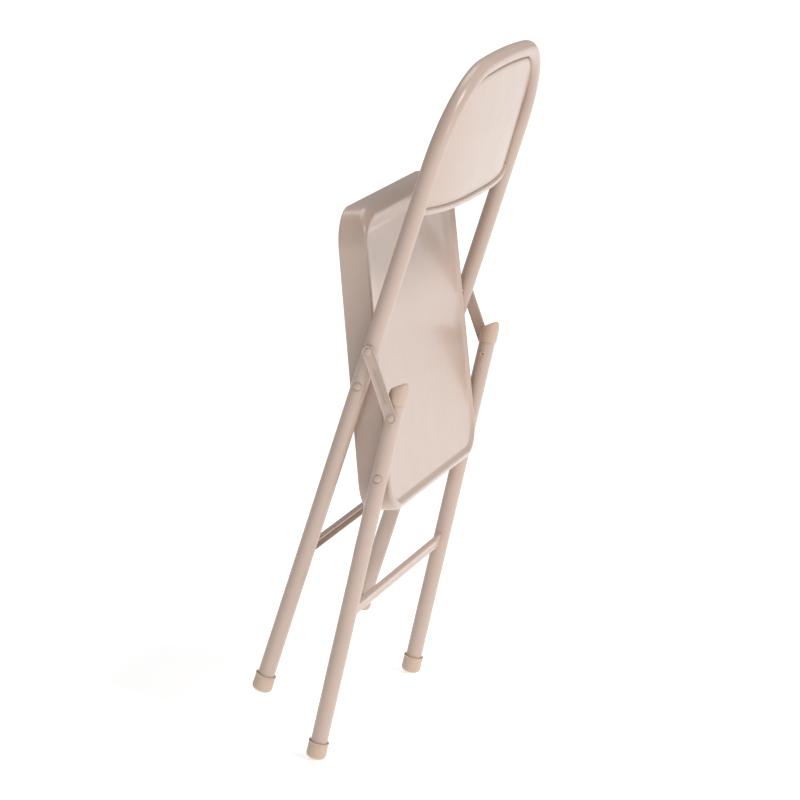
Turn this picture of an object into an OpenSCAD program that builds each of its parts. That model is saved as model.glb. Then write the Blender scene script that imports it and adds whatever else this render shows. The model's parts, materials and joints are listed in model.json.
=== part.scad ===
// Steel folding chair: an inverted-U tube that is both front legs and back,
// a pair of straight rear legs, a pressed seat pan and two side links.
// +X is the sitter's left, -Y the front, +Z up. It is drawn nearly folded,
// standing on its rear feet.

/* [Frame tubes] */
// Outside diameter of the frame tubes
tube_d = 22; // [18:0.5:26]
// Wall of the frame tubes
tube_wall = 1.2; // [0.8:0.1:2]
// Centre-line distance between the two legs of a frame
leg_spacing = 428; // [360:1:520]
// Front frame, seat pivot to the lower end of the foot
front_leg_len = 433; // [350:1:550]
// Front frame, seat pivot to the centre line of the top bend
back_height = 418.7; // [380:0.1:560]
// Radius of the two top corners, on the centre line
corner_r = 124; // [80:1:150]
// Rear leg, rear seat pivot to the lower end of the foot
rear_leg_len = 388; // [320:1:480]
// Rear leg, lower link pivot to the end of the bare tube
rear_leg_top = 27; // [22:1:32]

/* [Linkage] */
// Front frame, seat pivot up to the link pivot
front_pivot_gap = 48.5; // [40:0.5:60]
// Rear leg, seat pivot up to the link pivot
rear_pivot_gap = 82.4; // [70:0.1:100]
// Link, pivot to pivot
link_len = 88.8; // [80:0.1:106]
// Seat, front pivot back to the rear pivot
seat_pivot_back = 120; // [100:1:144]
// Seat, height of the rear pivot above the front one
seat_pivot_rise = 14; // [10:0.5:16]
// Angle between the seat and the front frame
fold_angle = 23.9; // [8:0.1:115]
// Backward lean of the front frame as it stands
frame_lean = 18.3; // [5:0.1:35]

/* [Seat pan] */
// Width of the seat pan
seat_w = 400; // [340:1:420]
// Seat pan, front pivot to the front edge
seat_front = 220; // [150:1:225]
// Seat pan, front pivot to the rear edge
seat_rear = 175; // [140:1:200]
// Seat face above the front pivot
seat_top = 22.5; // [20:0.5:32]
// Skirt edge below the front pivot
skirt_below = 18; // [8:0.5:24]
// Slope of the skirt edge, deeper at the back
skirt_slope = 0.92; // [0:0.02:3]
// Sheet thickness of the pan
pan_wall = 1; // [0.8:0.1:2]
// Plan radius of the front corners
seat_front_r = 50; // [20:1:70]
// Plan radius of the rear corners
seat_rear_r = 45; // [20:1:70]

/* [Back panel] */
// Lower edge of the panel above the seat pivot
panel_bottom = 230; // [226:1:260]
// Sheet thickness of the panel
panel_wall = 1.2; // [0.8:0.1:2]
// Rearward bulge of the panel between the tubes
panel_bulge = 20; // [6:1:25]
// Panel edge behind the tube centre line
panel_back = -2; // [-6:0.5:6]
// Depth of the edge flange in front of the tube centre line
panel_flange = 6; // [3:0.5:9]
// Height of the rolled bead along the lower edge
bead_h = 7; // [4:0.5:10]
// How far the rolled bead stands proud of the sheet
bead_proud = 5; // [2:0.5:8]

/* [Stretchers] */
// Front stretcher below the seat pivot
front_stretcher_drop = 232; // [200:1:330]
// Rear stretcher below the rear seat pivot
rear_stretcher_drop = 189; // [150:1:290]
// Height of the stretcher channels
stretcher_h = 15; // [10:0.5:20]
// Depth of the stretcher channels
stretcher_depth = 8; // [6:0.5:12]
// Sheet thickness of the stretchers
stretcher_wall = 1.5; // [1:0.1:2.5]

/* [Links and rivets] */
// Width of the links
link_w = 16; // [13:0.5:20]
// Thickness of the links
link_t = 2; // [1.5:0.1:3]
// Diameter of the pressed boss round each link pivot
link_boss_d = 13; // [10:0.5:16]
// Width of the pressed groove along the link
groove_w = 8; // [5:0.5:10]
// Depth of the pressed groove
groove_depth = 0.8; // [0.4:0.1:1]
// Diameter of the rivet shanks
rivet_d = 6; // [5:0.5:7]
// Diameter of the rivet heads
head_d = 9.6; // [8:0.2:12]
// Height of the rivet heads
head_h = 2.6; // [1.5:0.1:4]
// Diameter of the rolled rivet tails
tail_d = 8; // [7.5:0.5:8.5]
// Length of the rolled rivet tails
tail_len = 2; // [1:0.1:3]
// Diameter of the hole in a rivet tail
tail_hole_d = 3.5; // [2:0.5:4]
// Depth of the hole in a rivet tail
tail_hole_depth = 6; // [3:0.5:8]
// Diameter of the dimple that a seat rivet's head sits in
dimple_d = 13; // [12.5:0.5:16]
// Depth of the dimple in the tube
dimple_depth = 0.6; // [0.3:0.1:0.7]
// Diameter of the spacer washers beside the seat
washer_d = 14; // [12:0.5:15]

/* [Feet and caps] */
// Diameter of the foot caps
foot_d = 26.6; // [25:0.2:34]
// Height of the foot caps
foot_h = 23; // [16:0.5:32]
// Thickness under the tube's end
foot_floor = 3; // [2:0.5:6]
// Radius round the foot's lower edge
foot_edge_r = 6; // [3:0.5:8]
// Height of the lip at the foot's mouth
lip_h = 1.6; // [1:0.1:3]
// How far the lip stands proud
lip_proud = 0.4; // [0.2:0.1:1]
// Diameter of the rear legs' top caps
cap_d = 24.4; // [23:0.2:30]
// Height of the top caps
cap_h = 31; // [24:0.5:36]
// Top cap's mouth above the lower link pivot
cap_base = 17; // [12:0.5:20]
// Start of the top cap's slanted face above its mouth
cap_face = 14; // [11:0.5:20]
// Slant of that face from the leg's cross section
cap_slant = 45; // [30:1:60]
// Radius of the top cap's nose
cap_nose_r = 16; // [14:0.5:20]

/* [Fits] */
// Radial clearance of a rivet in its holes
pivot_fit = 0.05; // [0.02:0.01:0.1]
// Radial clearance of a cap on its tube
cap_fit = 0.05; // [0.02:0.01:0.1]
// Gap between pieces that move past each other
side_gap = 0.3; // [0.2:0.05:0.5]
// Gap between the tubes and what is welded between them
weld_gap = 0.05; // [0.02:0.01:0.1]
// Gap between the back panel's rim and the tube
panel_gap = 0.4; // [0.2:0.1:2]

/* [Hidden] */
$fn = 48;
paint = [0.85, 0.77, 0.70];
cap_plastic = [0.83, 0.71, 0.60];
left = 1;
right = -1;

// A point [y, z] turned about the X axis
function turned(p, a) = [p[0] * cos(a) - p[1] * sin(a), p[0] * sin(a) + p[1] * cos(a)];

leg_x = leg_spacing / 2;
tube_r = tube_d / 2;
outer_x = leg_x + tube_r;
inner_x = leg_x - tube_r;
hole_r = rivet_d / 2 + pivot_fit;

// Linkage in the front frame's own plane: seat pivot at [0, 0], Z up the tube
seat_turn = fold_angle - 90;
p_link = [0, front_pivot_gap];
p_rear = turned([seat_pivot_back, seat_pivot_rise], seat_turn);
across = norm(p_link - p_rear);
toward = (p_link - p_rear) / across;
along = (rear_pivot_gap * rear_pivot_gap - link_len * link_len + across * across) / (2 * across);
aside = sqrt(rear_pivot_gap * rear_pivot_gap - along * along);
p_low = p_rear + along * toward + aside * [toward[1], -toward[0]];
rear_turn = atan2(p_rear[0] - p_low[0], p_low[1] - p_rear[1]);
link_turn = atan2(p_low[0], p_link[1] - p_low[1]);

// Where the legs end and the top's two corners begin
arch_base = back_height - corner_r;

// Where the model stands: rear feet on Z = 0, centred on its own box
foot_r = foot_d / 2;
foot_flat = foot_r - foot_edge_r;
stance = frame_lean - rear_turn;
rear_foot_end = turned(p_rear, -frame_lean) - rear_leg_len * [sin(stance), cos(stance)];
floor_z = rear_foot_end[1] - foot_flat * sin(stance) - foot_edge_r * (1 - cos(stance));
front_y = (foot_edge_r - front_leg_len) * sin(frame_lean) - foot_flat * cos(frame_lean) - foot_edge_r;
bend_rear_y = back_height * sin(frame_lean) + tube_r;
panel_rear_y = (panel_back + panel_bulge) * cos(frame_lean)
    + (back_height - tube_r - panel_gap) * sin(frame_lean);
rear_y = max(bend_rear_y, panel_rear_y);
shift = [0, -(front_y + rear_y) / 2, -floor_z];

// Lateral places of the seat, links and rivets
skirt_in = seat_w / 2 - pan_wall;
seat_depth = 60;
washer_out = inner_x - side_gap;
link_in = leg_x + cap_d / 2 + side_gap;
link_out = link_in + link_t;
boss_in = outer_x + side_gap;
head_seat = outer_x - dimple_depth;

// Frames of the moving pieces
module on_front_frame() translate(shift) rotate([-frame_lean, 0, 0]) children();
module on_seat() on_front_frame() rotate([seat_turn, 0, 0]) children();
module on_rear_legs()
    on_front_frame() translate([0, p_rear[0], p_rear[1]]) rotate([rear_turn, 0, 0]) children();
module on_link()
    on_front_frame() translate([0, p_link[0], p_link[1]]) rotate([link_turn, 0, 0]) children();
module on_side(side) mirror([side < 0 ? 1 : 0, 0, 0]) children();
module to_x() rotate([90, 0, 90]) children();

// A round bar along X from x0 to x1
module pin_x(x0, x1, r) translate([x0, 0, 0]) rotate([0, 90, 0]) cylinder(r = r, h = x1 - x0);

// A shank along X from x0 to x1, where a domed head begins
module headed_pin(x0, x1) {
    dome_r = (head_d * head_d / 4 + head_h * head_h) / (2 * head_h);
    translate([x1, 0, 0]) rotate([0, 90, 0]) rotate_extrude() {
        translate([0, x0 - x1]) square([rivet_d / 2, x1 - x0]);
        intersection() {
            translate([0, head_h - dome_r]) circle(dome_r);
            square(head_d);
        }
    }
}

// A rivet from its rolled tail, whose shoulder is at x0, to its head's flat side at x1
module rivet(x0, x1) difference() {
    union() {
        headed_pin(x0 - tail_len, x1);
        pin_x(x0 - tail_len, x0, tail_d / 2);
    }
    pin_x(x0 - tail_len - 1, x0 - tail_len + tail_hole_depth, tail_hole_d / 2);
}

// ---- Front frame ----

// The inverted U as a bar of radius r, its legs starting at z0
module u_bar(r, z0) {
    for (side = [left, right]) on_side(side) {
        translate([leg_x, 0, z0]) cylinder(r = r, h = arch_base - z0);
        translate([leg_x - corner_r, 0, arch_base]) rotate([90, 0, 0])
            rotate_extrude(angle = 90) translate([corner_r, 0]) circle(r);
    }
    translate([0, 0, back_height]) pin_x(corner_r - leg_x, leg_x - corner_r, r);
}

module front_frame_tube() color(paint) on_front_frame() difference() {
    u_bar(tube_r, foot_floor - front_leg_len);
    u_bar(tube_r - tube_wall, -front_leg_len);
    for (side = [left, right]) on_side(side) {
        pin_x(inner_x - 1, outer_x + 1, hole_r);
        pin_x(head_seat, outer_x + 1, dimple_d / 2);
        translate([0, 0, front_pivot_gap]) pin_x(inner_x - 1, outer_x + 1, hole_r);
    }
}

// The opening inside the arch above the panel's lower edge, less a rim of width g
module arch_opening(g) {
    r = corner_r - tube_r - g;
    reach = leg_x - corner_r;
    difference() {
        union() {
            translate([-reach - r, 0]) square([2 * (reach + r), arch_base]);
            for (side = [left, right]) translate([side * reach, arch_base]) circle(r);
            translate([-reach, 0]) square([2 * reach, arch_base + r]);
        }
        translate([-leg_x, -corner_r]) square([leg_spacing, corner_r + panel_bottom]);
    }
}

// A prism of the arch opening from y0 to y1
module panel_prism(g, y0, y1)
    translate([0, y1, 0]) rotate([90, 0, 0]) linear_extrude(y1 - y0) arch_opening(g);

module back_panel() color(paint) on_front_frame() {
    half = inner_x - panel_gap;
    bend_r = (half * half + panel_bulge * panel_bulge) / (2 * panel_bulge);
    face_y = panel_back + panel_bulge;
    difference() {
        intersection() {
            panel_prism(panel_gap, -panel_flange, face_y + bead_proud);
            translate([0, face_y - bend_r, 0]) union() {
                cylinder(r = bend_r, h = back_height, $fn = 720);
                cylinder(r = bend_r + bead_proud, h = panel_bottom + bead_h, $fn = 720);
            }
        }
        intersection() {
            panel_prism(panel_gap + panel_wall, -panel_flange - 1, face_y + bead_proud);
            translate([0, face_y - bend_r, 0])
                cylinder(r = bend_r - panel_wall, h = back_height, $fn = 720);
        }
    }
}

// A channel between two legs at height z; web_side says which way its closed side faces
module stretcher(z, web_side) difference() {
    translate([-leg_x, -stretcher_depth / 2, z - stretcher_h / 2])
        cube([leg_spacing, stretcher_depth, stretcher_h]);
    translate([-leg_x - 1, -stretcher_depth / 2 - web_side * stretcher_wall, z - stretcher_h / 2 + stretcher_wall])
        cube([leg_spacing + 2, stretcher_depth, stretcher_h - 2 * stretcher_wall]);
    for (side = [left, right]) translate([side * leg_x, 0, z - stretcher_h])
        cylinder(r = tube_r + weld_gap, h = 2 * stretcher_h);
}

module front_stretcher() color(paint) on_front_frame() stretcher(-front_stretcher_drop, -1);

// A cup that the tube's end stands in, its lower end at the origin
module foot_cap() difference() {
    rotate_extrude() {
        square([foot_flat, foot_h]);
        translate([0, foot_edge_r]) square([foot_r, foot_h - foot_edge_r]);
        translate([foot_flat, foot_edge_r]) circle(foot_edge_r);
        translate([0, foot_h - lip_h]) square([foot_r + lip_proud, lip_h]);
    }
    translate([0, 0, foot_floor]) cylinder(r = tube_r + cap_fit, h = foot_h);
}

module front_foot(side)
    color(cap_plastic) on_front_frame() translate([side * leg_x, 0, -front_leg_len]) foot_cap();

module seat_rivet_front(side)
    color(paint) on_front_frame() on_side(side) rivet(skirt_in - side_gap, head_seat);

module link_rivet_upper(side) color(paint) on_front_frame() translate([0, 0, front_pivot_gap])
    on_side(side) rivet(inner_x, link_out + pivot_fit);

// ---- Seat ----

// The pan's plan outline, inset by g
module seat_outline(g) {
    w = seat_w / 2;
    translate([g - w, seat_front_r - seat_front])
        square([seat_w - 2 * g, seat_front + seat_rear - seat_front_r - seat_rear_r]);
    translate([seat_front_r - w, g - seat_front]) square([seat_w - 2 * seat_front_r, seat_front_r]);
    translate([seat_rear_r - w, seat_rear - seat_rear_r - g])
        square([seat_w - 2 * seat_rear_r, seat_rear_r]);
    for (side = [left, right]) {
        translate([side * (w - seat_front_r), seat_front_r - seat_front]) circle(seat_front_r - g);
        translate([side * (w - seat_rear_r), seat_rear - seat_rear_r]) circle(seat_rear_r - g);
    }
}

// The pan's block, inset by g on its sides and top, and far deeper than the skirt
module seat_block(g) translate([0, 0, -seat_depth]) linear_extrude(seat_depth + seat_top - g) seat_outline(g);

module seat_pan() color(paint) on_seat() difference() {
    seat_block(0);
    seat_block(pan_wall);
    translate([0, 0, -skirt_below]) rotate([-skirt_slope, 0, 0])
        translate([-seat_w, -2 * seat_front, -2 * seat_depth]) cube([2 * seat_w, 4 * seat_front, 2 * seat_depth]);
    pin_x(-seat_w, seat_w, hole_r);
    translate([0, seat_pivot_back, seat_pivot_rise]) pin_x(-seat_w, seat_w, hole_r);
}

// A spacer washer between the skirt and a tube
module seat_washer(side) on_side(side) difference() {
    pin_x(seat_w / 2, washer_out, washer_d / 2);
    pin_x(seat_w / 2 - 1, washer_out + 1, hole_r);
}
module seat_washer_front(side) color(paint) on_seat() seat_washer(side);
module seat_washer_rear(side)
    color(paint) on_seat() translate([0, seat_pivot_back, seat_pivot_rise]) seat_washer(side);

// ---- Rear legs ----

module rear_leg(side) color(paint) on_rear_legs() on_side(side) difference() {
    start = foot_floor - rear_leg_len;
    end = rear_pivot_gap + rear_leg_top;
    translate([leg_x, 0, start]) cylinder(r = tube_r, h = end - start);
    translate([leg_x, 0, start - 1]) cylinder(r = tube_r - tube_wall, h = end - start + 2);
    pin_x(inner_x - 1, outer_x + 1, hole_r);
    pin_x(head_seat, outer_x + 1, dimple_d / 2);
    translate([0, 0, rear_pivot_gap]) pin_x(inner_x - 1, outer_x + 1, hole_r);
}

module rear_stretcher() color(paint) on_rear_legs() stretcher(-rear_stretcher_drop, 1);

module rear_foot(side)
    color(cap_plastic) on_rear_legs() translate([side * leg_x, 0, -rear_leg_len]) foot_cap();

// A bullet-nosed plug over the leg's upper end, cut on a slant towards the front frame
module leg_top_cap(side) color(cap_plastic)
    on_rear_legs() translate([side * leg_x, 0, rear_pivot_gap + cap_base]) difference() {
        intersection() {
            cylinder(r = cap_d / 2, h = cap_h);
            translate([0, 0, cap_h - cap_nose_r]) union() {
                sphere(cap_nose_r);
                translate([0, 0, -cap_h]) cylinder(r = cap_nose_r, h = cap_h);
            }
        }
        translate([0, 0, -1]) cylinder(r = tube_r + cap_fit, h = rear_leg_top - cap_base + 1);
        translate([0, -cap_d / 2, cap_face]) rotate([cap_slant, 0, 0])
            translate([-cap_d, -cap_d, 0]) cube(3 * cap_d);
    }

module seat_rivet_rear(side)
    color(paint) on_rear_legs() on_side(side) rivet(skirt_in - side_gap, head_seat);

// The inner half of the lower link rivet, which stays in the leg
module link_rivet_tail(side) color(paint) on_rear_legs() translate([0, 0, rear_pivot_gap])
    on_side(side) difference() {
        union() {
            pin_x(inner_x - tail_len, outer_x - dimple_depth, rivet_d / 2);
            pin_x(inner_x - tail_len, inner_x, tail_d / 2);
        }
        pin_x(inner_x - tail_len - 1, inner_x - tail_len + tail_hole_depth, tail_hole_d / 2);
    }

// ---- Links ----

// A strap with round ends, of half width r, from z0 up to z1
module strap(r, z0, z1) {
    translate([0, z0]) circle(r);
    translate([0, z1]) circle(r);
    translate([-r, z0]) square([2 * r, z1 - z0]);
}

module link(side) color(paint) on_link() on_side(side) difference() {
    union() {
        translate([link_in, 0, 0]) to_x() linear_extrude(link_t) strap(link_w / 2, -link_len, 0);
        for (z = [0, -link_len]) translate([0, 0, z]) pin_x(boss_in, link_in, link_boss_d / 2);
    }
    for (z = [0, -link_len]) translate([0, 0, z]) pin_x(boss_in - 1, link_out + 1, hole_r);
    translate([link_out - groove_depth, 0, 0]) to_x() linear_extrude(link_t)
        strap(groove_w / 2, -link_len + link_w, -link_w);
}

// The outer half of the lower link rivet, which turns with the link
module link_rivet_lower(side) color(paint) on_link() translate([0, 0, -link_len]) on_side(side)
    headed_pin(boss_in, link_out);

front_frame_tube();
back_panel();
front_stretcher();
front_foot(left);  // front_foot_left
front_foot(right);  // front_foot_right
seat_rivet_front(left);  // seat_rivet_front_left
seat_rivet_front(right);  // seat_rivet_front_right
link_rivet_upper(left);  // link_rivet_upper_left
link_rivet_upper(right);  // link_rivet_upper_right
seat_pan();
seat_washer_front(left);  // seat_washer_front_left
seat_washer_front(right);  // seat_washer_front_right
seat_washer_rear(left);  // seat_washer_rear_left
seat_washer_rear(right);  // seat_washer_rear_right
rear_leg(left);  // rear_leg_left
rear_leg(right);  // rear_leg_right
rear_stretcher();
rear_foot(left);  // rear_foot_left
rear_foot(right);  // rear_foot_right
leg_top_cap(left);  // leg_top_cap_left
leg_top_cap(right);  // leg_top_cap_right
seat_rivet_rear(left);  // seat_rivet_rear_left
seat_rivet_rear(right);  // seat_rivet_rear_right
link_rivet_tail(left);  // link_rivet_tail_left
link_rivet_tail(right);  // link_rivet_tail_right
link(left);  // link_left
link(right);  // link_right
link_rivet_lower(left);  // link_rivet_lower_left
link_rivet_lower(right);  // link_rivet_lower_right
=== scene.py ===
import json
import math

import bmesh
import bpy
import numpy as np
from mathutils import Euler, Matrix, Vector


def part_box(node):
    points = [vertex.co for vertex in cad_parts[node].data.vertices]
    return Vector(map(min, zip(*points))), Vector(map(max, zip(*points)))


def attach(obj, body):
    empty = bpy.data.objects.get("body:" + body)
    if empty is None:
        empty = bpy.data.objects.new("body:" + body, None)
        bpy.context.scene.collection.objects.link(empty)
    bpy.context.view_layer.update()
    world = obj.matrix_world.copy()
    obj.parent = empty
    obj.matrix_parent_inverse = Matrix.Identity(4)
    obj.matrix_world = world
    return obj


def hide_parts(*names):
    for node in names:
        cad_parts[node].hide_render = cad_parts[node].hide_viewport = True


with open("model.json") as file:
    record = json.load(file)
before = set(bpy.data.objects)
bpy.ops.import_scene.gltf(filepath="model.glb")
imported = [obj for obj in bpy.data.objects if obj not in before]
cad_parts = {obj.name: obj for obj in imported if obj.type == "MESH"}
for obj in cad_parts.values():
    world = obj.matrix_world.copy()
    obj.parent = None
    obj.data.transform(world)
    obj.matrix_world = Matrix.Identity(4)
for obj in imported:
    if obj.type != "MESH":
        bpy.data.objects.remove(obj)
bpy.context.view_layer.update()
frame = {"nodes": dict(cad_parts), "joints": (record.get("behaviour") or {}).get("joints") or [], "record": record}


# ---- Front frame tube ----
# One round steel tube bent into an inverted U: both front legs, both uprights and the top of the back, which
# is a wide, slightly crowned bend. It is dimpled where the seat's rivets are set. Like all the chair's steel
# it wears one beige powder coat, semi-gloss, baked on after welding, with a fine orange peel.

joint_at = {joint["name"]: np.array(joint["pos_m"]) for joint in frame["joints"]}
mounts = {mount["name"]: mount for mount in frame["record"]["mounts"]}
leg_x = joint_at["link_left_swing"][0]
leg_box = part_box("rear_leg_left")
tube_r = (leg_box[1][0] - leg_box[0][0]) / 2.0
tube_steps = 72
back_height = 0.4187
corner_r = 0.124
crown_rise = 0.003
foot_floor = 0.003
wide_step = 0.012
fine_step = 0.0006
fine_reach = 0.011
dimple_r = 0.0048
dimple_fade = 0.0022
dimple_depth = 0.0009
peel_depth = 0.0006


class Basis:
    """A group's own axes: x across the chair, y to its back, z up along it, measured from a pivot."""

    def __init__(self, origin, up):
        self.origin = np.array([0.0, origin[1], origin[2]])
        self.up = np.array([0.0, up[1], up[2]]) / math.hypot(up[1], up[2])
        self.back = np.array([0.0, self.up[2], -self.up[1]])

    def place(self, points):
        """Local points to the chair's frame: origin + x across + y back + z up."""
        p = np.asarray(points, dtype=float)
        across = np.array([1.0, 0.0, 0.0])
        return self.origin + p[..., :1] * across + p[..., 1:2] * self.back + p[..., 2:3] * self.up

    def local(self, point):
        """A point of the chair's frame in this group's axes: its x, and its shares along back and up."""
        d = np.asarray(point, dtype=float) - self.origin
        return np.array([d[0], d @ self.back, d @ self.up])


def noise(nodes, coords, scale, detail):
    """A noise texture on the piece's own coordinates, at scale waves per metre."""
    node = nodes.new("ShaderNodeTexNoise")
    node.inputs["Scale"].default_value = scale
    node.inputs["Detail"].default_value = detail
    nodes.id_data.links.new(coords.outputs["Object"], node.inputs["Vector"])
    return node


def spread(nodes, source, low, high):
    """Maps the middle of a noise, 0.3 to 0.7, onto low to high in a straight line."""
    node = nodes.new("ShaderNodeMapRange")
    node.inputs["From Min"].default_value = 0.3
    node.inputs["From Max"].default_value = 0.7
    node.inputs["To Min"].default_value = low
    node.inputs["To Max"].default_value = high
    nodes.id_data.links.new(source.outputs["Fac"], node.inputs["Value"])
    return node


def beige_finish(name, light, dark, rough, peel, peel_scale, cloud_scale=9.0, shine=0.5, gloss=(0.0, 0.03)):
    """A sprayed or moulded finish: two close tones clouded together, roughness that wanders between two
    values, and a bump of a coarse peel and a fine grain. gloss is the clear top's weight and roughness."""
    material = bpy.data.materials.new(name)
    material.use_nodes = True
    nodes, links = material.node_tree.nodes, material.node_tree.links
    shader = nodes["Principled BSDF"]
    shader.inputs["Specular IOR Level"].default_value = shine
    shader.inputs["Coat Weight"].default_value = gloss[0]
    shader.inputs["Coat Roughness"].default_value = gloss[1]
    coords = nodes.new("ShaderNodeTexCoord")
    clouds = noise(nodes, coords, cloud_scale, 4.0)
    ramp = nodes.new("ShaderNodeValToRGB")
    ramp.color_ramp.elements[0].position = 0.3
    ramp.color_ramp.elements[1].position = 0.7
    ramp.color_ramp.elements[0].color = (*dark, 1.0)
    ramp.color_ramp.elements[1].color = (*light, 1.0)
    links.new(clouds.outputs["Fac"], ramp.inputs["Fac"])
    links.new(ramp.outputs["Color"], shader.inputs["Base Color"])
    sheen = spread(nodes, noise(nodes, coords, cloud_scale * 4.0, 3.0), *rough)
    links.new(sheen.outputs["Result"], shader.inputs["Roughness"])
    coarse = noise(nodes, coords, peel_scale, 2.0)
    grain = noise(nodes, coords, peel_scale * 4.0, 1.0)
    bumps = []
    for source, share in ((coarse, 1.0), (grain, 0.35)):
        bump = nodes.new("ShaderNodeBump")
        bump.inputs["Strength"].default_value = peel * share
        bump.inputs["Distance"].default_value = peel_depth
        links.new(source.outputs["Fac"], bump.inputs["Height"])
        bumps.append(bump)
    links.new(bumps[0].outputs["Normal"], bumps[1].inputs["Normal"])
    links.new(bumps[1].outputs["Normal"], shader.inputs["Normal"])
    return material


def smooth(t):
    """Smoothstep of t clipped to 0..1: three t squared less two t cubed."""
    t = np.clip(t, 0.0, 1.0)
    return t * t * (3.0 - 2.0 * t)


def mesh_object(name, points, faces, material):
    """A smooth-shaded object from arrays, its doubles merged and its faces turned outwards."""
    mesh = bpy.data.meshes.new(name)
    mesh.from_pydata(np.asarray(points).reshape(-1, 3).tolist(), [], faces)
    work = bmesh.new()
    work.from_mesh(mesh)
    bmesh.ops.remove_doubles(work, verts=work.verts, dist=2e-6)
    bmesh.ops.dissolve_degenerate(work, edges=work.edges, dist=1e-7)
    bmesh.ops.recalc_face_normals(work, faces=work.faces)
    work.to_mesh(mesh)
    work.free()
    mesh.polygons.foreach_set("use_smooth", np.ones(len(mesh.polygons), dtype=bool))
    mesh.materials.append(material)
    piece = bpy.data.objects.new(name, mesh)
    bpy.context.collection.objects.link(piece)
    return piece


def ring_object(name, rings, basis, material):
    """A closed skin through rings of points, shape (rows, columns, 3), in a group's own axes.
    Point j of ring i makes a quad with j + 1 and ring i + 1. A fan to its centre closes each end ring."""
    rows, columns = rings.shape[:2]
    i, j = np.meshgrid(np.arange(rows - 1), np.arange(columns), indexing="ij")
    k = (j + 1) % columns
    quads = np.stack([i * columns + j, i * columns + k, (i + 1) * columns + k, (i + 1) * columns + j], -1)
    j, k = j[0], k[0]
    start = np.full(columns, rows * columns)
    base = (rows - 1) * columns
    fans = np.stack([np.stack([start, k, j], -1), np.stack([start + 1, base + j, base + k], -1)], 1)
    faces = quads.reshape(-1, 4).tolist() + fans.reshape(-1, 3).tolist()
    points = np.concatenate([rings.reshape(-1, 3), rings[:1].mean(axis=1), rings[-1:].mean(axis=1)])
    return mesh_object(name, basis.place(points), faces, material)


def stations(low, high):
    """Heights from low to high along a tube: even wide steps, with even fine ones round the rivet at 0.
    A mark that falls almost on the one before it is dropped."""
    wide = np.append(np.arange(0.0, high - low, wide_step), high - low)
    fine = np.arange(-low - fine_reach, -low + fine_reach, fine_step)
    marks = np.unique(np.concatenate([wide, fine]))
    keep = np.append(True, np.diff(marks) > 0.4 * fine_step)
    return marks[keep] + low


def pipe(path):
    """Rings of a round tube along a path that lies in a plane square to the group's back direction.
    A ring is path + tube_r * (cos a * back + sin a * (tangent x back))."""
    back = np.array([0.0, 1.0, 0.0])
    tangent = np.gradient(path, axis=0)
    tangent /= np.linalg.norm(tangent, axis=1)[:, None]
    over = np.cross(tangent, back)
    a = np.linspace(0.0, 2.0 * np.pi, tube_steps, endpoint=False)
    around = np.cos(a)[None, :, None] * back + np.sin(a)[None, :, None] * over[:, None, :]
    return path[:, None, :] + tube_r * around


def dimpled(rings):
    """Presses a round dimple into a tube's outer side at height 0, where the seat's rivet is set.
    A point moves in by dimple_depth, fading to nothing over dimple_fade from dimple_r off the axis."""
    rings = rings.copy()
    reach = np.hypot(rings[..., 1], rings[..., 2])
    outside = np.abs(rings[..., 0]) > leg_x
    press = dimple_depth * (1.0 - smooth((reach - dimple_r) / dimple_fade)) * outside
    rings[..., 0] -= np.sign(rings[..., 0]) * press
    return rings


frame_coat = beige_finish("frame_powder_coat", (0.545, 0.415, 0.345), (0.520, 0.394, 0.326),
                          rough=(0.33, 0.43), peel=0.10, peel_scale=520.0, gloss=(0.30, 0.16))
front = Basis(joint_at["seat_fold"], joint_at["link_left_swing"] - joint_at["seat_fold"])
foot_low = front.local(mounts["front_sole_left"]["pos_m"])[2]
reach_x = leg_x - corner_r
half_crown = 2.0 * math.atan(crown_rise / reach_x)
crown_r = corner_r + reach_x / math.sin(half_crown)
arch_base = back_height - crown_rise - corner_r
leg_run = stations(foot_low + foot_floor, arch_base)
turn = np.linspace(0.0, math.pi / 2.0 - half_crown, 40)[1:]
over_top = np.linspace(math.pi / 2.0 - half_crown, math.pi / 2.0 + half_crown, 30)[1:-1]
leg_line = np.stack([np.full_like(leg_run, leg_x), leg_run], -1)
bend_line = np.stack([reach_x + corner_r * np.cos(turn), arch_base + corner_r * np.sin(turn)], -1)
crown_line = np.stack([crown_r * np.cos(over_top), back_height - crown_r + crown_r * np.sin(over_top)], -1)
half_line = np.concatenate([leg_line, bend_line])
outline = np.concatenate([half_line, crown_line, half_line[::-1] * [-1.0, 1.0]])
tube_path = np.stack([outline[:, 0], np.zeros(len(outline)), outline[:, 1]], -1)
frame_tube = ring_object("front_tube", dimpled(pipe(tube_path)), front, frame_coat)
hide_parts("front_frame_tube")
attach(frame_tube, "front_frame")


# ---- Rear legs ----
# Two straight lengths of the same tube, one on each side, that swing on the seat's rear rivets.
# Each is dimpled at that rivet, and its upper end stands in a plastic cap.

rear = Basis(joint_at["rear_leg_swing"], -np.array(mounts["rear_sole_left"]["axis"]))
rear_foot_low = rear.local(mounts["rear_sole_left"]["pos_m"])[2]
lower_pivot = np.mean(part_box("link_rivet_lower_left"), axis=0)
lower_z = rear.local(lower_pivot)[2]
leg_past_rivet = 0.027
leg_run = stations(rear_foot_low + foot_floor, lower_z + leg_past_rivet)
for side_name, side in (("left", 1.0), ("right", -1.0)):
    path = np.stack([np.full_like(leg_run, side * leg_x), np.zeros_like(leg_run), leg_run], -1)
    leg = ring_object("rear_tube_" + side_name, dimpled(pipe(path)), rear, frame_coat)
    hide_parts("rear_leg_" + side_name)
    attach(leg, "rear_frame")


# ---- Foot caps ----
# A moulded plastic cup on the end of each leg, pushed on over the tube.
# It has a thin bead at its mouth, a slight draft and a generous radius round its sole.

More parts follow.
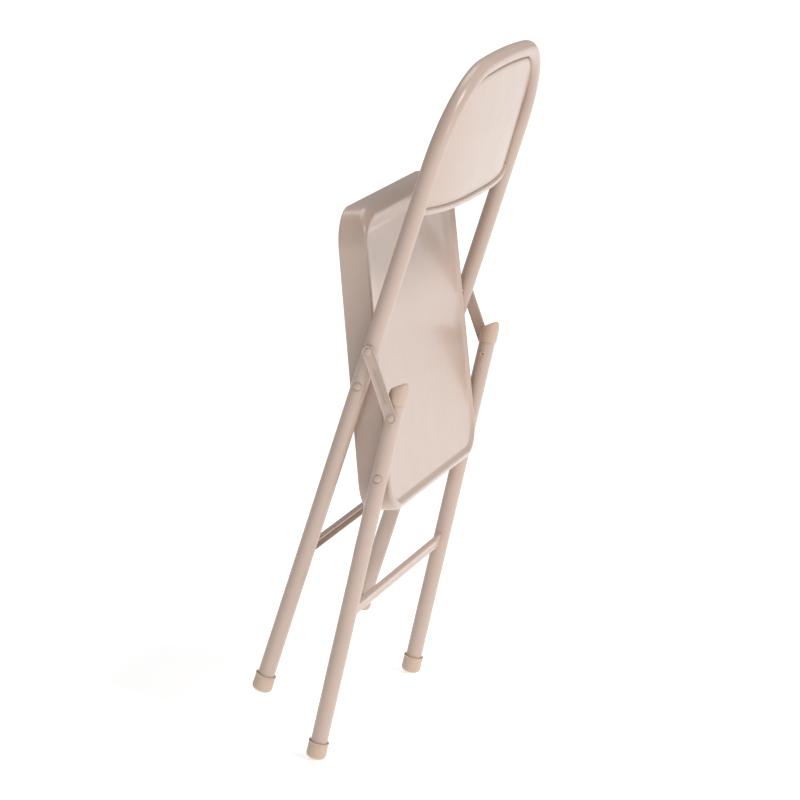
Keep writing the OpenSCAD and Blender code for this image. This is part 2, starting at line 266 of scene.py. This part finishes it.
foot_h = 0.023
foot_r = 0.0133
sole_r = 0.006
bead_r = 0.0008
cap_plastic = beige_finish("cap_plastic", (0.590, 0.445, 0.345), (0.555, 0.412, 0.318),
                           rough=(0.46, 0.58), peel=0.14, peel_scale=900.0, cloud_scale=22.0, shine=0.42)


def spun(profile, axis_point, axis, steps):
    """Rings of a profile of (radius, height) pairs turned about an axis.
    A point is axis_point + height * axis + radius * (cos a * side + sin a * other)."""
    axis = np.array(axis, dtype=float)
    side = np.cross(axis, [0.0, 1.0, 0.0])
    other = np.cross(axis, side)
    a = np.linspace(0.0, 2.0 * np.pi, steps, endpoint=False)
    radius, height = np.array(profile, dtype=float).T
    around = np.cos(a)[:, None] * side + np.sin(a)[:, None] * other
    return np.array(axis_point) + height[:, None, None] * axis + radius[:, None, None] * around


def arc(centre, radius, start, end, count):
    """Points of a profile along an arc between two angles in degrees: centre + radius * (cos a, sin a)."""
    a = np.radians(np.linspace(start, end, count))
    return np.column_stack([centre[0] + radius * np.cos(a), centre[1] + radius * np.sin(a)]).tolist()


sole = [(0.0, 0.0005), (0.0035, 0.0), (foot_r - sole_r, 0.0)]
heel = arc((foot_r - sole_r, sole_r), sole_r, -90.0, 0.0, 14)[1:]
wall = [(foot_r - 0.0002, foot_h * 0.6), (foot_r - 0.0003, foot_h - 3.2 * bead_r)]
bead = arc((foot_r - 0.0004, foot_h - bead_r), bead_r, -80.0, 90.0, 10)
mouth = [(tube_r + 0.0009, foot_h - 0.0001), (tube_r + 0.0003, foot_h - 0.0008)]
mouth += [(tube_r - 0.0002, foot_h - 0.003)]
cup = sole + heel + wall + bead + mouth
for group, basis, body, low in (
        ("front", front, "front_frame", foot_low),
        ("rear", rear, "rear_frame", rear_foot_low)):
    for side_name, side in (("left", 1.0), ("right", -1.0)):
        rings = spun(cup, (side * leg_x, 0.0, low), (0.0, 0.0, 1.0), 72)
        foot = ring_object(group + "_foot_cap_" + side_name, rings, basis, cap_plastic)
        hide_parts(group + "_foot_" + side_name)
        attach(foot, body)


# ---- Rear legs' top caps ----
# A plastic plug over the upper end of each rear leg, bullet-nosed and cut on a slant at the front.
# The slant lies against the front frame's tube when the chair is open.

cap_r = 0.0122
cap_past_rivet = 0.017
cap_h = 0.031
dome_from = 0.008
dome_power = 0.62
dome_lean = 0.0012
slant_from = 0.0165
slant_grade = 0.66
slant_edge = 0.0016
mouth = [(cap_r - 0.0006, 0.0), (cap_r - 0.0002, 0.0003), (cap_r, 0.0009)]
wall = [(cap_r, 0.003), (cap_r, 0.0055), (cap_r, dome_from)]
a = np.radians(np.linspace(2.0, 89.0, 48))
dome = np.column_stack([cap_r * np.cos(a) ** dome_power, dome_from + (cap_h - dome_from) * np.sin(a)])
nose = mouth + wall + dome.tolist()
for side_name, side in (("left", 1.0), ("right", -1.0)):
    # The dome leans back a little, and what stands over the slant's plane is pressed down onto it:
    # height = plane less edge * log(1 + e to the power of (plane - height) / edge).
    rings = spun(nose, (0.0, 0.0, 0.0), (0.0, 0.0, 1.0), 96)
    rings[..., 1] += dome_lean * smooth((rings[..., 2] - dome_from) / (cap_h - dome_from))
    plane = slant_from + (rings[..., 1] + cap_r) * slant_grade
    over = (rings[..., 2] - plane) / slant_edge
    pressed = plane - slant_edge * np.log1p(np.exp(-over))
    rings[..., 2] = np.where(over > -4.0, pressed, rings[..., 2])
    rings = rings + np.array([side * leg_x, 0.0, lower_z + cap_past_rivet])
    cap = ring_object("rear_leg_plug_" + side_name, rings, rear, cap_plastic)
    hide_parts("leg_top_cap_" + side_name)
    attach(cap, "rear_frame")


# ---- Seat pan ----
# One steel sheet pressed into a tray: a flat face, a raised ridge along its sides, a rolled front edge, and a
# deep skirt whose lower edge is folded in and which holds the chair's four seat rivets.
# Both of the chair's pressings wear the frame's coat, a little smoother on the flat sheet.

seat = Basis(joint_at["seat_fold"], mounts["seat_face"]["axis"])
half_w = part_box("seat_pan")[1][0]
seat_top = 0.0225
seat_front = 0.220
seat_rear = 0.175
front_corner = 0.050
rear_corner = 0.045
sheet = 0.0011
hem_r = 0.0011
skirt_low = -0.018
skirt_grade = -0.01606
slope_fall = 0.0036
hollow_depth = 0.0060
dish_depth = 0.0012
front_spread = 0.35
panel_coat = beige_finish("panel_powder_coat", (0.535, 0.408, 0.340), (0.515, 0.391, 0.325),
                          rough=(0.30, 0.38), peel=0.07, peel_scale=420.0, gloss=(0.32, 0.14))


def plan_ring(edge_points=40, arc_points=26):
    """The pan's plan outline: four quarter arcs, centre + radius * normal, joined by straight edges.
    Returns x and y with the outward normal at each point, going round once from the front left corner."""
    arcs, normals = [], []
    for across, along, radius, start in (
            (1, -1, front_corner, -90),
            (1, 1, rear_corner, 0),
            (-1, 1, rear_corner, 90),
            (-1, -1, front_corner, 180)):
        centre_y = seat_rear - radius if along > 0 else radius - seat_front
        a = np.radians(np.linspace(start, start + 90, arc_points))
        normals.append(np.stack([np.cos(a), np.sin(a)], -1))
        arcs.append(np.array([across * (half_w - radius), centre_y]) + radius * normals[-1])
    points, outward = [], []
    t = np.linspace(0.0, 1.0, edge_points + 2)[1:-1, None]
    for k in range(4):
        start, end = arcs[k][-1:], arcs[(k + 1) % 4][:1]
        points += [arcs[k], start + (end - start) * t]
        outward += [normals[k], np.repeat(normals[k][-1:], edge_points, axis=0)]
    return np.concatenate(points), np.concatenate(outward)


ring_points, ring_normals = plan_ring()
to_front = smooth(-ring_normals[:, 1])
to_rear = smooth(ring_normals[:, 1])
edge_r = 0.0038 + 0.0100 * to_front ** 2 + 0.0030 * to_rear
slope_run = 0.0085 + 0.0135 * to_front ** 2
skirt_foot = skirt_low + skirt_grade * ring_points[:, 1] + hem_r


def face_height(x, y, down):
    """Height of the pan's face: a ridge at the rim, a smoothstep slope down from it, then a shallow dish.
    down is the distance in from the rim. A hollow behind the front ridge fades out towards the middle."""
    dish = dish_depth * (1.0 - (x / half_w) ** 2) * (1.0 - ((y - 0.02) / 0.21) ** 2)
    past_slope = smooth((down - edge_r) / slope_run)
    hollow = hollow_depth * past_slope * smooth((-y - 0.05) / 0.13) * smooth((half_w - np.abs(x)) / 0.045)
    return seat_top - slope_fall * past_slope - hollow - np.clip(dish, 0.0, None)


def pan_skin(wall):
    """Rows of the pan's skin from its skirt's edge up to its centre, moved in by wall.
    Skirt, then a quarter ellipse as deep as edge_r, then the face, shrinking evenly onto its middle."""
    rows = []
    shoulder = seat_top - edge_r
    for t in np.linspace(0.0, 1.0, 14):
        p = ring_points - ring_normals * wall
        rows.append(np.column_stack([p, skirt_foot + (shoulder - skirt_foot) * t]))
    for a in np.radians(np.linspace(0.0, 90.0, 22))[1:]:
        inset = edge_r * (1.0 - math.cos(a))
        radius = np.maximum(edge_r - wall, 0.0008)
        p = ring_points - ring_normals * (edge_r - radius * math.cos(a))[:, None]
        ridge = face_height(p[:, 0], p[:, 1], inset) - seat_top
        rows.append(np.column_stack([p, shoulder + (radius + ridge) * math.sin(a)]))
    for reach in np.concatenate([np.linspace(0.0, 0.018, 16)[1:], [0.021, 0.025]]):
        inset = edge_r + reach * (1.0 + front_spread * to_front)
        spare = np.maximum(0.0, inset - front_corner * 0.94)
        p = ring_points - ring_normals * (inset - spare)[:, None]
        rows.append(np.column_stack([p, face_height(p[:, 0], p[:, 1], inset) - wall]))
    last = rows[-1][:, :2]
    middle = np.array([0.0, (seat_rear - seat_front) / 2.0])
    for t in np.linspace(1.0, 0.0, 26)[1:]:
        p = middle + (last - middle) * t
        down = inset + np.linalg.norm(last - p, axis=1)
        rows.append(np.column_stack([p, face_height(p[:, 0], p[:, 1], down) - wall]))
    return np.array(rows)


hem_rows = []
for a in np.radians(np.linspace(0.0, 180.0, 9))[1:-1]:
    p = ring_points - ring_normals * hem_r * (1.0 - math.cos(a))
    hem_rows.append(np.column_stack([p, skirt_foot - hem_r * math.sin(a)]))
for inset, rise in ((2.0 * hem_r, 0.0), (2.0 * hem_r, 0.006), (sheet + 0.0001, 0.0064)):
    hem_rows.append(np.column_stack([ring_points - ring_normals * inset, skirt_foot + rise]))
pan_rings = np.concatenate([pan_skin(0.0)[::-1], np.array(hem_rows), pan_skin(sheet)[3:]])
pan = ring_object("pressed_seat", pan_rings, seat, panel_coat)
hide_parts("seat_pan")
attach(pan, "seat")


# ---- Back panel ----
# A second pressing that fills the arch. It bulges to the rear between the tubes, and its rim rolls forward
# into a flange welded to the inner side of the tube. Its lower edge is only a hem.

panel_gap = 0.0006
panel_base = 0.2375
panel_back = -0.0015
panel_tilt = 0.0035
panel_sag = 0.0200
sag_loss = 0.30
flange = 0.0022
flange_cut = 0.0008
roll = 0.0080
hem = 0.0009
arch_in = corner_r - tube_r - panel_gap
panel_half = leg_x - tube_r - panel_gap
crown_in = crown_r - tube_r - panel_gap


def panel_outline(rise_points=24, low_points=60):
    """The arch's inner outline: a straight side, the bend's arc and the crown's arc, mirrored, and then the
    straight lower edge. Returns points in x and z with their outward normals."""
    rise = np.linspace(panel_base, arch_base, rise_points)
    a = np.linspace(0.0, math.pi / 2.0 - half_crown, 44)[1:]
    b = np.linspace(math.pi / 2.0 - half_crown, math.pi / 2.0, 22)[1:]
    bend_out = np.column_stack([np.cos(a), np.sin(a)])
    crown_out = np.column_stack([np.cos(b), np.sin(b)])
    side = np.column_stack([np.full(rise_points, panel_half), rise])
    bend = np.array([reach_x, arch_base]) + arch_in * bend_out
    crown = np.array([0.0, back_height - crown_r]) + crown_in * crown_out
    half = np.concatenate([side, bend, crown])
    half_out = np.concatenate([np.tile([1.0, 0.0], (rise_points, 1)), bend_out, crown_out])
    low_x = np.linspace(-panel_half, panel_half, low_points + 2)[1:-1]
    low = np.column_stack([low_x, np.full(low_points, panel_base)])
    low_out = np.tile([0.0, -1.0], (low_points, 1))
    points = np.concatenate([half, half[-2::-1] * [-1.0, 1.0], low])
    return points, np.concatenate([half_out, half_out[-2::-1] * [-1.0, 1.0], low_out])


def panel_face(x, z):
    """How far back the panel's face lies: one less |x over half width| cubed, times the bulge.
    The face leans forward by panel_tilt on its way up, and the bulge loses sag_loss of itself."""
    across = 1.0 - np.abs(x / panel_half) ** 3
    up = np.clip((z - panel_base) / (back_height - tube_r - panel_base), 0.0, 1.0)
    bulge = panel_sag * np.clip(across, 0.0, None) * (1.0 - sag_loss * up * up)
    return panel_back - panel_tilt * up + bulge


rim_points, rim_normals = panel_outline()
rim_centre = np.array([0.0, (panel_base + arch_base) / 2.0 + 0.02])
low_edge = (rim_normals[:, 1] < -0.5).astype(float)
rim_roll = roll + (hem - roll) * low_edge


def moved_in(inset):
    """The rim moved in by inset along its normals, kept inside the panel's two square corners."""
    inset = np.broadcast_to(inset, len(rim_points))
    p = rim_points - rim_normals * inset[:, None]
    reach = panel_half - inset[0]
    p[:, 1] = np.maximum(p[:, 1], panel_base + inset[-1])
    p[:, 0] = np.where(low_edge > 0.5, np.clip(p[:, 0], -reach, reach), p[:, 0])
    return p


def hug(y):
    """The inset at which the rim follows the round tube beside it, half a millimetre clear of it.
    It is the root of radius squared less y squared, less the rim's distance from the tube's axis."""
    return np.sqrt((tube_r + 0.0005) ** 2 - np.minimum(y * y, 0.0001)) - (tube_r + panel_gap)


def panel_skin(wall):
    """Rows from the flange's front edge, which hugs the tube, back over the rolled rim to the face's centre.
    The roll is a quarter ellipse, and the face shrinks evenly onto its centre."""
    rows = []
    last = moved_in(rim_roll)
    shoulder = panel_face(*last.T) - wall
    base = shoulder - np.maximum(0.5 * rim_roll - wall, 0.0002)
    start = base - flange + flange_cut * low_edge
    for t in np.linspace(0.0, 1.0, 6):
        y = start + (base - start) * t
        p = moved_in(wall + hug(y) * (1.0 - low_edge))
        rows.append(np.column_stack([p[:, 0], y, p[:, 1]]))
    edge = wall + hug(base) * (1.0 - low_edge)
    for a in np.radians(np.linspace(0.0, 90.0, 16))[1:]:
        p = moved_in(edge + np.maximum(rim_roll - edge, 0.0) * (1.0 - math.cos(a)))
        rows.append(np.column_stack([p[:, 0], base + (shoulder - base) * math.sin(a), p[:, 1]]))
    for t in np.linspace(1.0, 0.0, 34)[1:]:
        p = rim_centre + (last - rim_centre) * t
        rows.append(np.column_stack([p[:, 0], panel_face(p[:, 0], p[:, 1]) - wall, p[:, 1]]))
    return np.array(rows)


panel_rings = np.concatenate([panel_skin(0.0)[::-1], panel_skin(sheet)])
panel = ring_object("pressed_back", panel_rings, front, panel_coat)
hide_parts("back_panel")
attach(panel, "front_frame")


# ---- Back bead ----
# The stiffening roll of sheet under the back panel's lower edge, from one tube to the other.
# It follows the panel's bulge and thins a little where it meets the tubes.

bead_low = 0.2296
bead_high = panel_base - 0.0004
bead_deep = 0.0032
bead_square = 0.55
end_run = 0.012
bead_rows = 90
bead_steps = 28


def squared(c):
    """A sine made into a rounded square's: the sign of c times |c| to the power of bead_square."""
    return np.sign(c) * np.abs(c) ** bead_square


bead_x = np.linspace(-panel_half, panel_half, bead_rows)
end_share = np.clip((np.abs(bead_x) - panel_half + end_run) / end_run, 0.0, 1.0)
behind = panel_face(bead_x * (panel_half - 0.004) / panel_half, np.full(bead_rows, panel_base))
bead_y = behind - 0.0006 + 0.0010 * (1.0 - 0.5 * end_share ** 2)
a = np.linspace(0.0, 2.0 * np.pi, bead_steps, endpoint=False)
bead_z = (bead_low + bead_high) / 2.0 + (bead_high - bead_low) / 2.0 * squared(np.sin(a))
bead_rings = np.stack([
    np.repeat(bead_x[:, None], bead_steps, axis=1),
    bead_y[:, None] + bead_deep * squared(np.cos(a))[None, :],
    np.repeat(bead_z[None, :], bead_rows, axis=0),
], -1)
back_bead = ring_object("back_bead", bead_rings, front, panel_coat)
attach(back_bead, "front_frame")


# ---- Stretchers ----
# A folded steel channel between the two legs of each frame, its open side towards the other frame.
# Its ends are pressed flat and welded to the tubes, and a shallow crease runs along its web.

bar_half = 0.2035
bar_h = 0.0150
bar_depth = 0.0075
bar_wall = 0.0014
fold_r = 0.0022
crease_depth = 0.0009
crease_w = 0.0016
end_fine = 0.012
end_slope = 0.034
press_from = 0.006
press_run = 0.024
press_share = 0.38
press_spread = 0.10


def bar_section():
    """The channel's outline in y and z: a flange, a quarter arc, the web with a bell-shaped crease of
    depth * e to the power of -(z / width) squared, mirrored, and then the same lines one wall further in."""
    half = bar_h / 2.0
    lip = [(-bar_depth, half), (-bar_depth + 0.001, half)]
    fold = arc((-fold_r, half - fold_r), fold_r, 90.0, 0.0, 7)
    web_z = np.linspace(half - fold_r, 0.0, 12)[1:]
    crease = np.column_stack([-crease_depth * np.exp(-((web_z / crease_w) ** 2)), web_z])
    upper = np.concatenate([lip, fold, crease])
    outside = np.concatenate([upper, upper[-2::-1] * [1.0, -1.0]])
    y, z = outside[::-1].T
    inner_half = half - bar_wall
    inner_y = np.where(np.abs(z) < inner_half, np.minimum(y - bar_wall, -bar_wall), y)
    inner_z = np.copysign(np.minimum(np.abs(z), inner_half), z)
    return np.concatenate([outside, np.column_stack([inner_y, inner_z])])


def stretcher(name, node, basis, body, z, web):
    """The channel swept along x. Near its ends it closes to press_share of its depth and spreads in height.
    web is +1 when the closed side faces back and -1 when it faces forward."""
    flat_run = np.linspace(0.0, end_fine, 10)
    sloped_run = np.linspace(end_fine, end_slope, 16)[1:]
    plain_run = np.linspace(end_slope, bar_half, 30)[1:]
    half_run = np.concatenate([flat_run, sloped_run, plain_run]) - bar_half
    x = np.concatenate([half_run, -half_run[-2::-1]])
    open_share = smooth((bar_half - np.abs(x) - press_from) / press_run)[:, None]
    depth_share = press_share + (1.0 - press_share) * open_share
    tall = 1.0 + press_spread * (1.0 - open_share)
    section = bar_section()
    rings = np.stack([
        np.repeat(x[:, None], len(section), axis=1),
        web * (section[:, 0] + bar_depth / 2.0)[None, :] * depth_share,
        z + section[:, 1][None, :] * tall,
    ], -1)
    bar = ring_object(name, rings, basis, frame_coat)
    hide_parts(node)
    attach(bar, body)


front_bar_z = front.local(np.mean(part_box("front_stretcher"), axis=0))[2]
rear_bar_z = rear.local(np.mean(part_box("rear_stretcher"), axis=0))[2]
stretcher("front_cross_bar", "front_stretcher", front, "front_frame", front_bar_z, -1.0)
stretcher("rear_cross_bar", "rear_stretcher", rear, "rear_frame", rear_bar_z, 1.0)


# ---- Side links ----
# A flat steel strap on each side, outside the tubes, that makes the rear legs swing with the seat.
# It is pressed: a raised lip all round, a sunk groove along its middle, and a boss behind each rivet.

link = Basis(joint_at["link_left_swing"], joint_at["link_left_swing"] - lower_pivot)
link_len = abs(link.local(lower_pivot)[2])
link_w = 0.016
link_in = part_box("link_left")[1][0] - 0.002
boss_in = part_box("link_left")[0][0]
web_rise = 0.0013
lip_rise = 0.0008
groove = 0.0008
back_rows = ((0.0078, 0.0), (0.004, 0.0), (0.0009, 0.0), (0.0002, 0.0003), (0.0, 0.0008))
face_insets = (0.0, 0.0001, 0.0003, 0.0006, 0.0010, 0.0013, 0.0016, 0.0019, 0.0022, 0.0026, 0.0030,
               0.0033, 0.0036, 0.0039, 0.0042, 0.0045, 0.0048, 0.0054, 0.0062, 0.0070, 0.0078, 0.00799)
boss = [(0.0, 0.0), (0.0052, 0.0), (0.0058, 0.0002), (0.0066, 0.0013), (0.0066, 0.0016), (0.0, 0.0016)]


def strap_ring(inset, ends=30, run=60):
    """A stadium outline round both pivots moved in by inset: half circle, side, half circle, side."""
    r = max(link_w / 2.0 - inset, 0.0)
    a = np.linspace(0.0, np.pi, ends)
    b = np.linspace(np.pi, 2.0 * np.pi, ends)
    t = np.linspace(0.0, 1.0, run + 2)[1:-1]
    upper = np.column_stack([r * np.cos(a), r * np.sin(a)])
    lower = np.column_stack([r * np.cos(b), r * np.sin(b) - link_len])
    down = np.column_stack([np.full(run, -r), -link_len * t])
    up = np.column_stack([np.full(run, r), -link_len * (1.0 - t)])
    return np.concatenate([upper, down, lower, up])


def strap_face(inset, p):
    """Height of the strap's outer face: the web, plus a lip along the edge, less a groove in the middle.
    The lip falls away past 1.1 mm in. The groove starts 3 mm in and runs from a fifth of the length on."""
    lip = lip_rise * (1.0 - smooth((inset - 0.0011) / 0.0011))
    run = np.clip(-p[:, 1] / link_len, 0.0, 1.0)
    along = smooth((run - 0.20) / 0.10) * smooth((0.82 - run) / 0.10)
    deep = smooth((inset - 0.0030) / 0.0018)
    rounding = 0.0006 * (1.0 - smooth(inset / 0.0006))
    return web_rise + lip - groove * along * deep - rounding


for side_name, side in (("left", 1.0), ("right", -1.0)):
    rows = []
    for inset, height in back_rows:
        p = strap_ring(inset)
        rows.append(np.column_stack([np.full(len(p), height), p]))
    for inset in face_insets:
        p = strap_ring(inset)
        rows.append(np.column_stack([strap_face(inset, p), p]))
    rings = np.array(rows)
    rings[..., 0] = side * (rings[..., 0] + link_in)
    strap = ring_object("side_link_" + side_name, rings, link, frame_coat)
    bosses = []
    for z in (0.0, -link_len):
        rings = spun(boss, (side * boss_in, 0.0, z), (side, 0.0, 0.0), 48)
        bosses.append(ring_object("boss", rings, link, frame_coat))
    with bpy.context.temp_override(active_object=strap, selected_editable_objects=[strap] + bosses):
        bpy.ops.object.join()
    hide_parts("link_" + side_name)
    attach(strap, "link_" + side_name)


# ---- Rivets and washers ----
# Steel semi-tubular rivets, painted with the frame: a low dome outside, a rolled hollow tail inside. The
# lower link rivet is in two halves, one that turns with the link and one that stays in the leg. Thin
# washers in the same paint stand between the seat's skirt and the tubes.

head_r = 0.0048
head_h = 0.0024
head_power = 0.8
shank_r = 0.003
ring_r = 0.00115
ring_centre = 0.00285
link_face = link_in + 0.0014
seat_head = leg_x + tube_r - 0.0007
split_at = leg_x + tube_r - 0.0008
skirt_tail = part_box("seat_rivet_front_left")[0][0]
tube_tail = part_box("link_rivet_tail_left")[0][0]
upper_z = front.local(joint_at["link_left_swing"])[2]


def head_profile():
    """The head's half of a rivet: radius by sine and height by a power of cosine down from the crown,
    then in under the rim and a little way along the shank."""
    a = np.radians(np.linspace(0.0, 90.0, 20))
    crown = np.column_stack([head_r * np.sin(a), head_h * np.cos(a) ** head_power]).tolist()
    return crown + [(head_r - 0.0001, -0.0004), (shank_r, -0.0004), (shank_r, -0.001)]


def tail_profile(x0):
    """The tail's half, its end at x0: along the shank, over the rolled ring's arc and down its hole."""
    rolled = arc((ring_centre, x0 + ring_r), ring_r, 70.0, -170.0, 18)
    hole = [(0.0016, x0 + 0.002), (0.0015, x0 + 0.0055), (0.0, x0 + 0.0058)]
    return [(shank_r, x0 + 0.004)] + rolled + hole


def rivet(name, node, basis, body, side, z, head_at, tail_at):
    """One rivet across a tube at height z. head_at and tail_at are places along x, or None for no such end.
    The head's profile and the tail's are one line of (radius, distance from the head's seat), spun."""
    flat = split_at if head_at is None else head_at
    start = [(0.0, 0.0), (shank_r, 0.0)] if head_at is None else head_profile()
    cut = [(shank_r, boss_in - flat), (0.0, boss_in - flat)]
    end = cut if tail_at is None else tail_profile(tail_at - flat)
    rings = spun(start + end, (side * flat, 0.0, z), (side, 0.0, 0.0), 48)
    piece = ring_object(name, rings, basis, frame_coat)
    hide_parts(node)
    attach(piece, body)


for side_name, side in (("left", 1.0), ("right", -1.0)):
    rivet("front_seat_rivet_" + side_name, "seat_rivet_front_" + side_name,
          front, "front_frame", side, 0.0, seat_head, skirt_tail)
    rivet("rear_seat_rivet_" + side_name, "seat_rivet_rear_" + side_name,
          rear, "rear_frame", side, 0.0, seat_head, skirt_tail)
    rivet("upper_link_rivet_" + side_name, "link_rivet_upper_" + side_name,
          front, "front_frame", side, upper_z, link_face, tube_tail)
    rivet("lower_link_rivet_" + side_name, "link_rivet_lower_" + side_name,
          link, "link_" + side_name, side, -link_len, link_face, None)
    rivet("lower_rivet_tail_" + side_name, "link_rivet_tail_" + side_name,
          rear, "rear_frame", side, lower_z, None, tube_tail)
for name, washer in frame["nodes"].items():
    if name.startswith("seat_washer"):
        washer.data.materials.clear()
        washer.data.materials.append(frame_coat)


# ---- Studio ----
# A pale seamless floor that runs on into a white surround, with large soft lights.
# The camera is a long lens from behind the chair's left side, a little above it.

floor_half = 30.0
corners = [(-floor_half, -floor_half, 0.0), (floor_half, -floor_half, 0.0)]
corners += [(floor_half, floor_half, 0.0), (-floor_half, floor_half, 0.0)]
floor_mesh = bpy.data.meshes.new("studio_floor")
floor_mesh.from_pydata(corners, [], [(0, 1, 2, 3)])
floor = bpy.data.objects.new("studio_floor", floor_mesh)
bpy.context.collection.objects.link(floor)
paper = bpy.data.materials.new("white_paper")
paper.use_nodes = True
paper_shader = paper.node_tree.nodes["Principled BSDF"]
paper_shader.inputs["Base Color"].default_value = (0.95, 0.95, 0.95, 1.0)
paper_shader.inputs["Roughness"].default_value = 0.9
paper_shader.inputs["Emission Color"].default_value = (1.0, 1.0, 1.0, 1.0)
paper_shader.inputs["Emission Strength"].default_value = 0.50
floor_mesh.materials.append(paper)

world = bpy.data.worlds.new("white_surround")
world.use_nodes = True
world.node_tree.nodes["Background"].inputs["Color"].default_value = (1.0, 1.0, 1.0, 1.0)
world.node_tree.nodes["Background"].inputs["Strength"].default_value = 0.30
bpy.context.scene.world = world
bpy.context.scene.view_settings.view_transform = "Standard"


def soft_light(name, kind, place, size, power):
    """A light at place that faces the chair's middle: an area of a size, or a sun of an angle."""
    data = bpy.data.lights.new(name, kind)
    if kind == "SUN":
        data.angle = size
    else:
        data.size = size
    data.energy = power
    lamp = bpy.data.objects.new(name, data)
    lamp.location = place
    lamp.rotation_euler = (Vector((0.0, 0.0, 0.45)) - Vector(place)).to_track_quat("-Z", "Y").to_euler()
    bpy.context.collection.objects.link(lamp)


soft_light("key_light", "SUN", (0.6, 2.0, 2.9), 0.35, 1.52)
soft_light("edge_light", "AREA", (1.6, 3.2, 1.4), 0.7, 18.0)
soft_light("top_light", "AREA", (-0.9, -0.4, 3.2), 1.6, 22.0)

lens = 181.7
distance = 5.307
azimuth = math.radians(106.84)
elevation = math.radians(12.0)
camera_roll = math.radians(0.15)
aim = Vector((0.0155, -0.006, 0.43725))
camera_data = bpy.data.cameras.new("studio_camera")
camera_data.lens = lens
camera_data.sensor_width = 36.0
camera = bpy.data.objects.new("studio_camera", camera_data)
level = math.cos(elevation)
away = Vector((math.sin(azimuth) * level, -math.cos(azimuth) * level, math.sin(elevation)))
camera.location = aim + away * distance
facing = away.to_track_quat("Z", "Y").to_matrix() @ Euler((0.0, 0.0, -camera_roll)).to_matrix()
camera.rotation_euler = facing.to_euler()
bpy.context.collection.objects.link(camera)
bpy.context.scene.camera = camera
